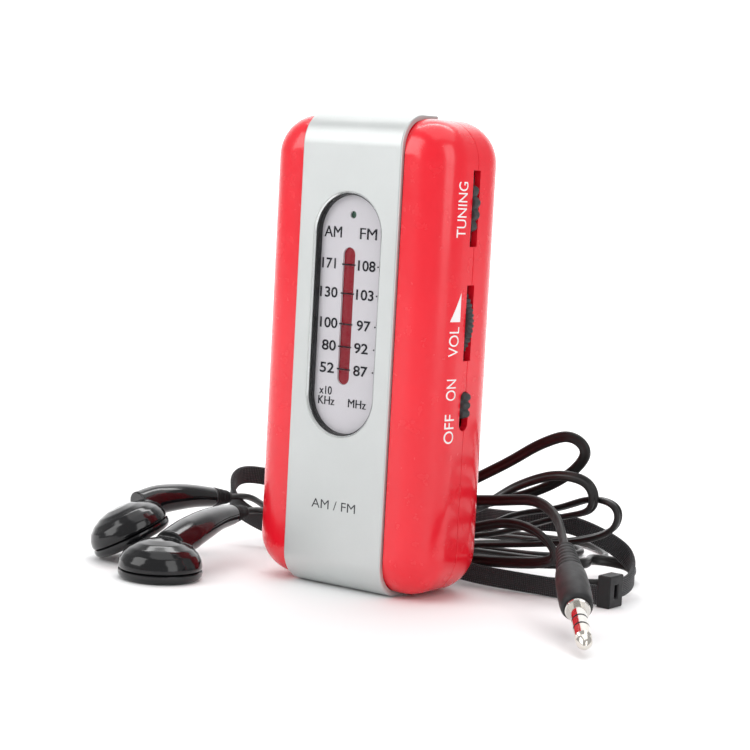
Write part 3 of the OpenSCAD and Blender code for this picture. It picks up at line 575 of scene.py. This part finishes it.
def make_shell(name, sign, fillet):
    start = SEAM_Y + sign * SEAM_GAP
    outer = [[(x, y, z) for x, z in outline(s)] for y, s in half_levels(sign, fillet, start)]
    inner_fillet = fillet - WALL
    flat = sign * (HALF_D - fillet)
    inner = [[(x, y, z) for x, z in outline(s)] for y, s in
             [(flat + sign * inner_fillet * math.sin(math.pi / 2 * k / 8),
               WALL + inner_fillet * (1 - math.cos(math.pi / 2 * k / 8))) for k in range(8, -1, -1)]
             + [(start, WALL)]]
    n = len(outer[0])
    verts, faces = loft(outer + inner, closed=True)
    count = len(outer)
    face_a, face_b = (count - 1) * n, count * n
    faces = [f for f in faces if not (f[0] // n == count - 1 and f[2] // n == count)]
    faces += [tuple(range(face_a, face_a + n)), tuple(range(face_b, face_b + n))[::-1]]
    return raw(name, verts, faces)


def side_profile(sign, bend, inset, far_y, n=20, top=TOP):
    """Half of the radio seen from the side, in y and z, from the seam round to the seam."""
    r, face = bend - inset, (FACE_Y + inset if sign < 0 else BACK_Y - inset)
    low, high = inset, top - inset
    points = [(far_y, high)]
    points += [(face - sign * r + sign * r * math.sin(math.pi / 2 * k / n),
                high - r + r * math.cos(math.pi / 2 * k / n)) for k in range(n + 1)]
    points += [(face - sign * r + sign * r * math.cos(math.pi / 2 * k / n),
                low + r - r * math.sin(math.pi / 2 * k / n)) for k in range(n + 1)]
    return points + [(far_y, low)]


def channel(name, sign, bend, depth, half):
    """The space outside the profile at that depth, as wide as the band with its crevices."""
    inner = side_profile(sign, bend, depth, SEAM_Y - sign * 2)
    outer = side_profile(sign, bend, -4, SEAM_Y - sign * 2)
    rings = [[(x, y, z) for y, z in outer + inner[::-1]] for x in (-half, half)]
    return raw(name, *loft(rings))


def side_cutters(tag):
    made = []
    for _, z, _ in (TUNING, VOLUME):
        made.append(block(f"{tag}_wheel", (HALF_W - 4, WHEEL_SLOT_Y[0], z - WHEEL_SLOT_HALF),
                          (HALF_W + 2, WHEEL_SLOT_Y[1], z + WHEEL_SLOT_HALF)))
    for s, z in ((1, POWER_Z), (-1, BAND_Z)):
        ring = stadium(SWITCH_Y, SWITCH_R, z - SWITCH_HALF, z + SWITCH_HALF, 16)
        made.append(raw(f"{tag}_switch", *loft([[(x, y, zz) for y, zz in ring]
                                               for x in (s * (HALF_W - 4), s * (HALF_W + 4))])))
    ring = [(SEAM_Y + 3 * math.cos(a), JACK_Z + 3 * math.sin(a))
            for a in [2 * math.pi * k / 48 for k in range(48)]]
    made.append(raw(f"{tag}_jack", *loft([[(x, y, z) for y, z in ring]
                                         for x in (-HALF_W - 3, -HALF_W + 4)])))
    return made


cutters = side_cutters("cut")
front = make_shell("front_case", -1, FRONT_R)
band_channel = channel("band_channel", -1, BEND_R, BAND_T, BAND_HALF + CREVICE)
window_hole = prism("window_hole", lambda s: stadium(0, WINDOW_R + 0.45, WINDOW_LOW - 0.45,
                                                    WINDOW_HIGH + 0.45), [(-20, 0), (-8, 0)])
cut(front, [band_channel, window_hole, *cutters])
soften(front, 0.12)
finish_piece(front, RED, "case", 40, ["front_shell"], True)

rear = make_shell("rear_case", 1, REAR_R)
spine_ring = side_profile(1, SPINE_R, 0, SEAM_Y + SEAM_GAP, top=TOP - SPINE_DROP)
spine_inner = side_profile(1, SPINE_R, WALL + RISE, SEAM_Y + SEAM_GAP)
spine = raw("rear_spine", *loft([[(x, y, z) for y, z in spine_ring + spine_inner[::-1]]
                                 for x in (-BAND_HALF, BAND_HALF)]))
screw_holes = []
for i, (x, z) in enumerate(POSTS):
    ring = [(x + 2.3 * math.cos(2 * math.pi * k / 40), z + 2.3 * math.sin(2 * math.pi * k / 40))
            for k in range(40)]
    screw_holes.append(raw(f"screw_hole_{i}", *loft([[(a, y, b) for a, b in ring] for y in (10.4, 20)])))
door_pocket = block("door_pocket", (-DOOR_HALF - 0.25, BACK_Y - 1.6, DOOR_LOW - 0.25),
                    (DOOR_HALF + 0.25, BACK_Y + 4, DOOR_HIGH + 0.25))
tray_mouth = block("tray_mouth", (-11.4, 4, DOOR_LOW - 0.25), (11.4, 20, 55.4))
rear_channel = channel("rear_channel", 1, SPINE_R, 0.5, BAND_HALF + CREVICE)
# Right through the rear case, so that only the spine makes the ledge behind the door.
rear_pocket = block("rear_pocket", (-DOOR_HALF - 0.25, 10.9, DOOR_LOW - 0.25),
                    (DOOR_HALF + 0.25, BACK_Y + 4, DOOR_HIGH + 0.25))
cut(rear, [rear_channel, *cutters, *screw_holes, rear_pocket, tray_mouth])
cut(spine, [door_pocket, tray_mouth])
soften(rear, 0.12)
soften(spine, 0.3, 3)
finish_piece(rear, RED, "case", 40, ["rear_shell"], True)
finish_piece(spine, RED, "case", 40, (), True)
drop(*cutters, band_channel, window_hole, *screw_holes, door_pocket, rear_pocket, tray_mouth, rear_channel)

# Battery tray, seen when the door is open.
tray = block("battery_tray", (-12.5, 0.5, 4.9), (12.5, 11.4, 56.5))
tray_hole = block("tray_hole", (-11.4, 1.4, 6), (11.4, 20, 55.4))
cut(tray, [tray_hole])
drop(tray_hole)
soften(tray, 0.15)
finish_piece(tray, RED, "case", 30, (), True)

def round_low_edge(o):
    """Takes the door's lower edge round its hinge line."""
    r, n = 0.75, 12
    y0, z0 = BACK_Y - r, DOOR_LOW + r
    rim = [(y0 + r * math.cos(math.pi + math.pi * k / n), z0 + r * math.sin(math.pi + math.pi * k / n))
           for k in range(n + 1)]
    outside = [(y0 - 3, z0), (y0 - 3, z0 - 3), (y0 + 3, z0 - 3), (y0 + 3, z0)]
    ring = rim + outside[::-1]
    tool = raw("edge_cut", *loft([[(x, y, z) for y, z in ring] for x in (-30, 30)]))
    cut(o, [tool])
    drop(tool)


door = block("door_panel", (-DOOR_HALF, BACK_Y - 1.5, DOOR_LOW), (DOOR_HALF, BACK_Y, DOOR_HIGH))
grooves = [block(f"groove_{k}", (-4, BACK_Y - 0.4, 53 + 1.5 * k), (4, 20, 53.7 + 1.5 * k))
           for k in range(4)]
cut(door, grooves)
drop(*grooves)
round_low_edge(door)
soften(door, 0.2, 3)
finish_piece(door, RED, "door", 40, ["battery_door"], True)


# Silver band with the dial window.
def make_band():
    edge, n = 0.45, 5
    across = [(BAND_HALF - edge + edge * math.sin(math.pi / 2 * k / n),
               edge * (1 - math.cos(math.pi / 2 * k / n))) for k in range(n + 1)]
    section = [(-x, d) for x, d in across[::-1]] + across
    section += [(BAND_HALF, BAND_T), (-BAND_HALF, BAND_T)]
    profiles = [side_profile(-1, BEND_R, d, SEAM_Y - SEAM_GAP) for _, d in section]
    rings = [[(section[k][0], *profiles[k][j]) for k in range(len(section))]
             for j in range(len(profiles[0]))]
    return raw("band_sheet", *loft(rings))


band = make_band()
window = prism("window_cut", lambda s: stadium(0, WINDOW_R + s, WINDOW_LOW - s, WINDOW_HIGH + s, 40),
               [(FACE_Y - 1, 1.5), (FACE_Y + 0.5, 0.0), (FACE_Y + 4, 0.0)])
cut(band, [window])
drop(window)
finish_piece(band, SILVER, "case", 30, ["front_band"], True)


def ring_strip(name, r_low, points, paint, slot, replaces=()):
    """A ring that follows the window's outline; points are (inset from the window, y)."""
    rings = [[(x, y, z) for x, z in stadium(0, r_low - s, WINDOW_LOW + (WINDOW_R - r_low) + s,
                                           WINDOW_HIGH - (WINDOW_R - r_low) - s, 40)]
             for s, y in points]
    return add(name, *loft(rings, closed=True), paint, "case", slot, 30, replaces)


ring_strip("window_edge", WINDOW_R, [(-0.3, FACE_Y + 0.24), (-0.28, FACE_Y + 0.16), (0.0, FACE_Y + 0.42),
                                     (0.03, FACE_Y + 1.2), (-0.02, FACE_Y + 1.2)], RIM, "band_metal")
ring_strip("dial_wall", WINDOW_R, [(0.02, FACE_Y + 0.75), (0.34, FACE_Y + 0.85), (0.4, DIAL_Y - 0.02),
                                   (-0.3, DIAL_Y - 0.02), (-0.3, FACE_Y + 1.25), (0.02, FACE_Y + 1.25)],
           BLACK, "dial_black", ["dial_bezel"])
lens_rings = [[(x, y, z) for x, z in stadium(0, WINDOW_R - 0.1 - s, WINDOW_LOW + 0.1 + s,
                                            WINDOW_HIGH - 0.1 - s, 40)]
              for y, s in [(FACE_Y + 0.74, 0.0), (FACE_Y + 0.45, 0.0), (FACE_Y + 0.3, 0.05),
                           (FACE_Y + 0.22, 0.16), (FACE_Y + 0.18, 0.32), (FACE_Y + 0.15, 0.7)]]
add("dial_glass", *loft(lens_rings), LENS, "case", "lens_clear", 30, ["dial_lens"])

# Dial plate with its slot and lamp hole.
plate = prism("dial_print", lambda s: stadium(0, WINDOW_R + 1.2, WINDOW_LOW - 1.2, WINDOW_HIGH + 1.2, 40),
              [(DIAL_Y, 0), (DIAL_Y + 0.5, 0)])
slot_cut = prism("slot_cut", lambda s: stadium(SLOT_X, SLOT_R, SLOT_LOW, SLOT_HIGH),
                 [(DIAL_Y - 1, 0), (DIAL_Y + 2, 0)])
lamp_cut = prism("lamp_cut", lambda s: stadium(LED[0], 0.85, LED[1] - 0.851, LED[1] + 0.851, 20),
                 [(DIAL_Y - 1, 0), (DIAL_Y + 2, 0)])
cut(plate, [slot_cut, lamp_cut])
drop(slot_cut, lamp_cut)
finish_piece(plate, PLATE, "case", 30, ["dial_plate"], True)

lamp = [(0, 0.25), (0.75, 0.28), (1.15, 0.45), (1.45, 0.9), (1.5, 3.4), (1.9, 3.4), (1.9, 4.0), (0, 4.0)]
to_back = Matrix(((1, 0, 0), (0, 0, 1), (0, -1, 0))).to_4x4()
add("lamp_dome", *placed(lathe(lamp, 48), Matrix.Translation((LED[0], DIAL_Y + 0.5, LED[1])) @ to_back),
    LAMP, "case", "led_green", 40)


# Lettering.
def glyphs(name, text, matrix, size, paint, body, cuts=(), bend=None, weight=0.0):
    """Text as a thin mesh; size is (width, height) to fill, and matrix takes its plane to the row frame."""
    data = bpy.data.curves.new(name, "FONT")
    data.body, data.size = text, 1.0
    data.offset = weight
    o = bpy.data.objects.new(name, data)
    bpy.context.scene.collection.objects.link(o)
    bpy.context.view_layer.update()
    mesh = bpy.data.meshes.new_from_object(o)
    bpy.data.objects.remove(o)
    bpy.data.curves.remove(data)
    xs, ys = [v.co.x for v in mesh.vertices], [v.co.y for v in mesh.vertices]
    sx, sy = size[0] / (max(xs) - min(xs)), size[1] / (max(ys) - min(ys))
    x0, y0 = min(xs), min(ys)
    for v in mesh.vertices:
        v.co = matrix @ Vector(((v.co.x - x0) * sx, (v.co.y - y0) * sy, 0))
    b = bmesh.new()
    b.from_mesh(mesh)
    bmesh.ops.remove_doubles(b, verts=b.verts, dist=1e-4)
    for y in cuts:
        bmesh.ops.bisect_plane(b, geom=[*b.verts, *b.edges, *b.faces], plane_co=(0, y, 0),
                               plane_no=(0, 1, 0))
    for v in b.verts:
        if bend:
            v.co = bend(v.co)
        v.co *= MM
    b.to_mesh(mesh)
    b.free()
    mesh.materials.append(paint.m)
    o = bpy.data.objects.new(name, mesh)
    bpy.context.scene.collection.objects.link(o)
    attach(o, body)
    return o


def front_text(name, text, x, z, width, height, y, paint=None, weight=0.0):
    matrix = Matrix(((1, 0, 0, x), (0, 0, -1, y), (0, 1, 0, z), (0, 0, 0, 1)))
    glyphs(name, text, matrix, (width, height), paint or PRINT, "case", weight=weight)


INK_Y = DIAL_Y - 0.02
for name, text, x0, x1, z0, z1 in (
    ("print_am", "AM", -8.1, -3.1, 79.8, 82.3), ("print_fm", "FM", 1.9, 6.7, 79.8, 82.3),
    ("print_x10", "x10", -7.3, -3.7, 44.2, 46.1), ("print_khz", "KHz", -7.5, -2.8, 41.9, 43.8),
    ("print_mhz", "MHz", 1.0, 6.1, 41.9, 43.8),
):
    # A second copy a little to one side makes the strokes bolder.
    for part, shift in (("", 0), ("_bold", 0.13)):
        front_text(name + part, text, x0 + shift, z0, x1 - x0 - 0.13, z1 - z0, INK_Y - shift * 0.02)
DIAL_ROWS = ((73.9, "171", -8.3, -4.4, "108", 1.8, 6.7), (67.4, "130", -8.5, -3.5, "103", 1.7, 6.6),
             (60.5, "100", -8.1, -3.1, "97", 2.3, 6.2), (55.4, "80", -7.2, -3.2, "92", 1.9, 5.8),
             (50.3, "52", -7.5, -3.4, "87", 2.0, 6.0))
for z, low, low_0, low_1, high, high_0, high_1 in DIAL_ROWS:
    front_text(f"print_low_{low}", low, low_0, z - 1.2, low_1 - low_0, 2.4, INK_Y, weight=0.022)
    front_text(f"print_high_{high}", high, high_0, z - 1.2, high_1 - high_0, 2.4, INK_Y, weight=0.022)
    for k, (x0, x1) in enumerate(((-2.65, 1.15), (-9.1, -8.75), (7.2, 7.6))):
        add(f"tick_{high}_{k}", [(x0, INK_Y - 0.01, z - 0.17), (x1, INK_Y - 0.01, z - 0.17),
                                 (x1, INK_Y - 0.01, z + 0.17), (x0, INK_Y - 0.01, z + 0.17)],
            [(0, 1, 2, 3)], PRINT, "case", "dial_print")
front_text("front_mark", "AM / FM", -6.2, 18.5, 12.4, 2.1, FACE_Y - 0.012, MARK)

SIDE_FLAT = HALF_D - FRONT_R


def on_side(p):
    """Lays a point of the right side's lettering onto the curve of the case."""
    over = max(0.0, -SIDE_FLAT - p.y)
    x = HALF_W - (FRONT_R - math.sqrt(FRONT_R ** 2 - over ** 2)) + 0.025
    return Vector((x, p.y, p.z))


def side_text(name, text, y_base, z0, z1, height):
    matrix = Matrix(((0, 0, 1, HALF_W), (0, -1, 0, y_base), (1, 0, 0, z0), (0, 0, 0, 1)))
    glyphs(name, text, matrix, (z1 - z0, height), WHITE, "case",
           cuts=[y_base - 0.2 * k for k in range(1, 18)], bend=on_side)


side_text("side_tuning", "TUNING", -4.35, 81.6, 93.8, 2.9)
side_text("side_vol", "VOL", -4.7, 55.4, 62.0, 2.9)
side_text("side_on", "ON", -4.7, 45.7, 50.4, 2.9)
side_text("side_off", "OFF", -4.7, 36.1, 42.6, 2.9)
wedge_rows = []
for k in range(17):
    t = k / 16
    z = 63.1 + 6.4 * t
    y_low, y_high = -7.64 + (7.64 - 4.6) * t, -4.5 - 0.1 * t
    wedge_rows.append([on_side(Vector((0, y_low + (y_high - y_low) * j / 12, z))) for j in range(13)])
add("side_wedge", [p for row in wedge_rows for p in row],
    [(i * 13 + j, i * 13 + j + 1, i * 13 + j + 14, i * 13 + j + 13) for i in range(16) for j in range(12)],
    WHITE, "case", "dial_print")


# Thumbwheels and slide knobs.
def thumbwheel(name, spot, teeth, depth, sharp, node, body, wobble=0.0, steps=12):
    x0, z0, r = spot
    n = teeth * steps
    radii = []
    for k in range(n):
        tooth, t = divmod(k, steps)
        wave = 0.5 - 0.5 * math.cos(2 * math.pi * t / steps)
        lift = wobble * math.sin(tooth * 2.4)
        radii.append(r - depth * (1 - wave ** sharp) + lift * wave)
    half = 1.1
    across = [(-half, 3.5, 0), (-half, 1.2, 1), (-half + 0.1, 0.25, 1), (-half + 0.3, 0.06, 1),
              (-half + 0.55, 0, 1), (half - 0.55, 0, 1), (half - 0.3, 0.06, 1), (half - 0.1, 0.25, 1),
              (half, 1.2, 1), (half, 3.5, 0)]
    rings = []
    for y, inset, use in across:
        rings.append([(x0 + ((radii[k] if use else r) - inset) * math.cos(2 * math.pi * k / n), WHEEL_Y + y,
                       z0 + ((radii[k] if use else r) - inset) * math.sin(2 * math.pi * k / n))
                      for k in range(n)])
    return add(name, *loft(rings), WHEEL, body, "wheel_grey", 40, [node])


thumbwheel("tuning_thumb", TUNING, 26, 0.85, 0.6, "tuning_wheel", "tuner", 0.07)
thumbwheel("volume_thumb", VOLUME, 60, 0.4, 0.7, "volume_wheel", "volume", 0.0, 8)


def slide_knob(name, s, z, node, body):
    """A rubbery knob: a stadium base and three rounded ridges, melted together."""
    top, low = z + SWITCH_HALF - 0.15, z + SWITCH_HALF - 0.15 - 6.0
    r = SWITCH_R - 0.15
    parts = [raw("knob_base", *loft([[(x, SWITCH_Y + y, zz) for y, zz in
                                      stadium(0, r - inset, low + inset, top - inset, 16)]
                                     for x, inset in ((s * (HALF_W - 2.2), 0), (s * (HALF_W - 0.1), 0),
                                                      (s * (HALF_W + 0.25), 0.25))]))]
    for k in (-1, 0, 1):
        zc = (top + low) / 2 + 1.85 * k
        rows = [(-r + 0.1, 0.5), (-r + 0.3, 0.78), (-r + 0.7, 0.9), (0, 0.95),
                (r - 0.7, 0.9), (r - 0.3, 0.78), (r - 0.1, 0.5)]
        parts.append(raw("knob_ridge", *loft([[(s * (HALF_W + 0.1) + rr * math.cos(2 * math.pi * j / 20),
                                               SWITCH_Y + y, zc + rr * math.sin(2 * math.pi * j / 20))
                                              for j in range(20)] for y, rr in rows])))
    base = parts[0]
    b = bmesh.new()
    for p in parts:
        b.from_mesh(p.data)
    b.to_mesh(base.data)
    b.free()
    drop(*parts[1:])
    base.name = name
    remesh(base, 0.11, 6)
    return finish_piece(base, WHEEL, body, 60, [node])


def remesh(o, voxel, rounds):
    m = o.modifiers.new("melt", "REMESH")
    m.mode, m.voxel_size, m.use_smooth_shade = "VOXEL", voxel * MM, True
    k = o.modifiers.new("relax", "SMOOTH")
    k.factor, k.iterations = 0.5, rounds
    apply_modifiers(o)


slide_knob("power_slider_knob", 1, POWER_Z, "power_knob", "power_slider")
slide_knob("band_slider_knob", -1, BAND_Z, "band_knob", "band_slider")


# Earpieces.
DOME = [(0, 2.3), (9.3, 2.3), (9.55, 2.5), (9.6, 3.2), (9.35, 4.5), (8.6, 5.9), (7.2, 7.2), (5.2, 8.3),
        (2.8, 9.0), (0, 9.2)]
EAR_RIM = [(7.4, 0.75), (7.9, 0.2), (8.4, 0.0), (9.0, 0.25), (9.55, 0.9), (9.68, 1.5), (9.6, 2.05),
           (9.35, 2.2), (7.4, 2.2)]


def earpiece(side, place, stem, radii):
    line = dense(stem, 0.5, 1.0)
    last = len(line) - 1

    def section(i):
        t = i / last * (len(radii) - 1)
        k = min(int(t), len(radii) - 2)
        r = radii[k] + (radii[k + 1] - radii[k]) * (t - k)
        return flat_oval(r * 0.98, r * 0.9, 40)
    dome = raw(f"{side}_dome", *placed(lathe(DOME, 96), place))
    neck = raw("neck", *loft(sweep(line, section)))
    b = bmesh.new()
    b.from_mesh(dome.data)
    b.from_mesh(neck.data)
    b.to_mesh(dome.data)
    b.free()
    drop(neck)
    remesh(dome, 0.22, 8)
    finish_piece(dome, GLOSS, "earphones", 70, [f"{side}_housing"])
    n = 96
    rim = [[(r * math.cos(2 * math.pi * k / n), r * math.sin(2 * math.pi * k / n), z) for k in range(n)]
           for r, z in EAR_RIM]
    add(f"{side}_ring", *placed(loft(rim, closed=True), place), GLOSS, "earphones", "ear_black", 40,
        [f"{side}_rim"])
    grille_mesh(side, place)


def grille_mesh(side, place):
    """A plain flat disc for the grille, without perforations."""
    verts, faces = lathe([(0, 0.85), (2.2, 0.8), (4.6, 0.78), (7.3, 0.75), (7.3, 1.6), (0, 1.6)], 96)
    o = add(f"{side}_mesh", *placed((verts, faces), place), MESH_DARK, "earphones", "grille_grey", 30,
            [f"{side}_grille"])
    return o


earpiece("left", Matrix.Translation(LEFT_EAR), LEFT_STEM, [4.2, 4.3, 3.9, 3.3, 2.8])
earpiece("right", Matrix.Translation(RIGHT_EAR) @ Matrix.Rotation(math.radians(216), 4, "Z")
         @ Matrix.Rotation(math.radians(28), 4, "Y"), RIGHT_STEM, [4.2, 4.0, 3.6, 3.1, 2.7])

# Materials for the CAD pieces that stay.
STAY = {
    "dial_filter": FILTER, "dial_pointer": POINTER, "pointer_rail": STEEL, "dial_cord": BRAID,
    "cord_drum": IVORY, "upper_pulley": IVORY, "lower_pulley": IVORY, "pulley_pins": STEEL,
    "tuning_capacitor": IVORY, "volume_pot": STEEL, "power_switch": STEEL, "band_switch": STEEL,
    "earphone_jack": BLACK, "signal_led": LAMP, "circuit_board": BOARD, "radio_chip": BLACK,
    "tuned_coils": STEEL, "filter_capacitors": BLUE, "ferrite_rod": FERRITE, "aerial_coil": COPPER,
    "battery_cells": CELL, "battery_contacts": NICKEL, "battery_springs": NICKEL,
    "case_screws": STEEL, "board_screws": STEEL, "battery_leads": LEAD,
}
for name, paint in STAY.items():
    o = NODES[name]
    o.data.materials.clear()
    o.data.materials.append(paint.m)
    smooth(o.data, 30)


# Floor and light.
def stage():
    half, back, n = 1.6, 1.6, 24
    rows = [(-half, 0), (back - 0.5, 0)]
    rows += [(back - 0.5 + 0.5 * math.sin(math.pi / 2 * k / n), 0.5 - 0.5 * math.cos(math.pi / 2 * k / n))
             for k in range(1, n + 1)] + [(back, 2.4)]
    turn = Matrix.Rotation(math.radians(36), 4, "Z")
    verts = [turn @ Vector((x, y, z)) for y, z in rows for x in (-2.2, 2.2)]
    faces = [(2 * k, 2 * k + 1, 2 * k + 3, 2 * k + 2) for k in range(len(rows) - 1)]
    data = bpy.data.meshes.new("floor")
    data.from_pydata([tuple(v) for v in verts], [], faces)
    o = bpy.data.objects.new("floor", data)
    bpy.context.scene.collection.objects.link(o)
    p = Paint("floor_paper", (0.9, 0.9, 0.9), 0.7)
    p.tint(p.noise(0.01), (0.89, 0.89, 0.9), (0.92, 0.92, 0.92))
    data.materials.append(p.m)
    smooth(data, 60)


def area_light(name, place, target, size, power, size_y=None, color=(1, 1, 1)):
    data = bpy.data.lights.new(name, "AREA")
    data.energy, data.size, data.color = power, size, color
    data.shape, data.size_y = "RECTANGLE", size_y or size
    o = bpy.data.objects.new(name, data)
    bpy.context.scene.collection.objects.link(o)
    o.location = place
    o.rotation_euler = (Vector(target) - Vector(place)).to_track_quat("-Z", "Y").to_euler()


stage()
area_light("key_left", (-0.5, -0.75, 0.55), (0, 0, 0.05), 0.6, 4.9, 0.8)
area_light("fill_right", (0.9, -0.25, 0.45), (0, 0, 0.05), 0.5, 3.3, 0.9)
area_light("top", (0.05, 0.1, 1.0), (0, 0, 0), 1.0, 3.4)
area_light("backdrop", (-0.4, 0.55, 1.3), (-0.94, 1.3, 0.55), 1.2, 26.0, 1.0)
world = bpy.data.worlds.new("studio")
world.use_nodes = True
world.node_tree.nodes["Background"].inputs["Color"].default_value = (1, 1, 1, 1)
world.node_tree.nodes["Background"].inputs["Strength"].default_value = 0.5
bpy.context.scene.world = world
bpy.context.scene.view_settings.view_transform = "Standard"
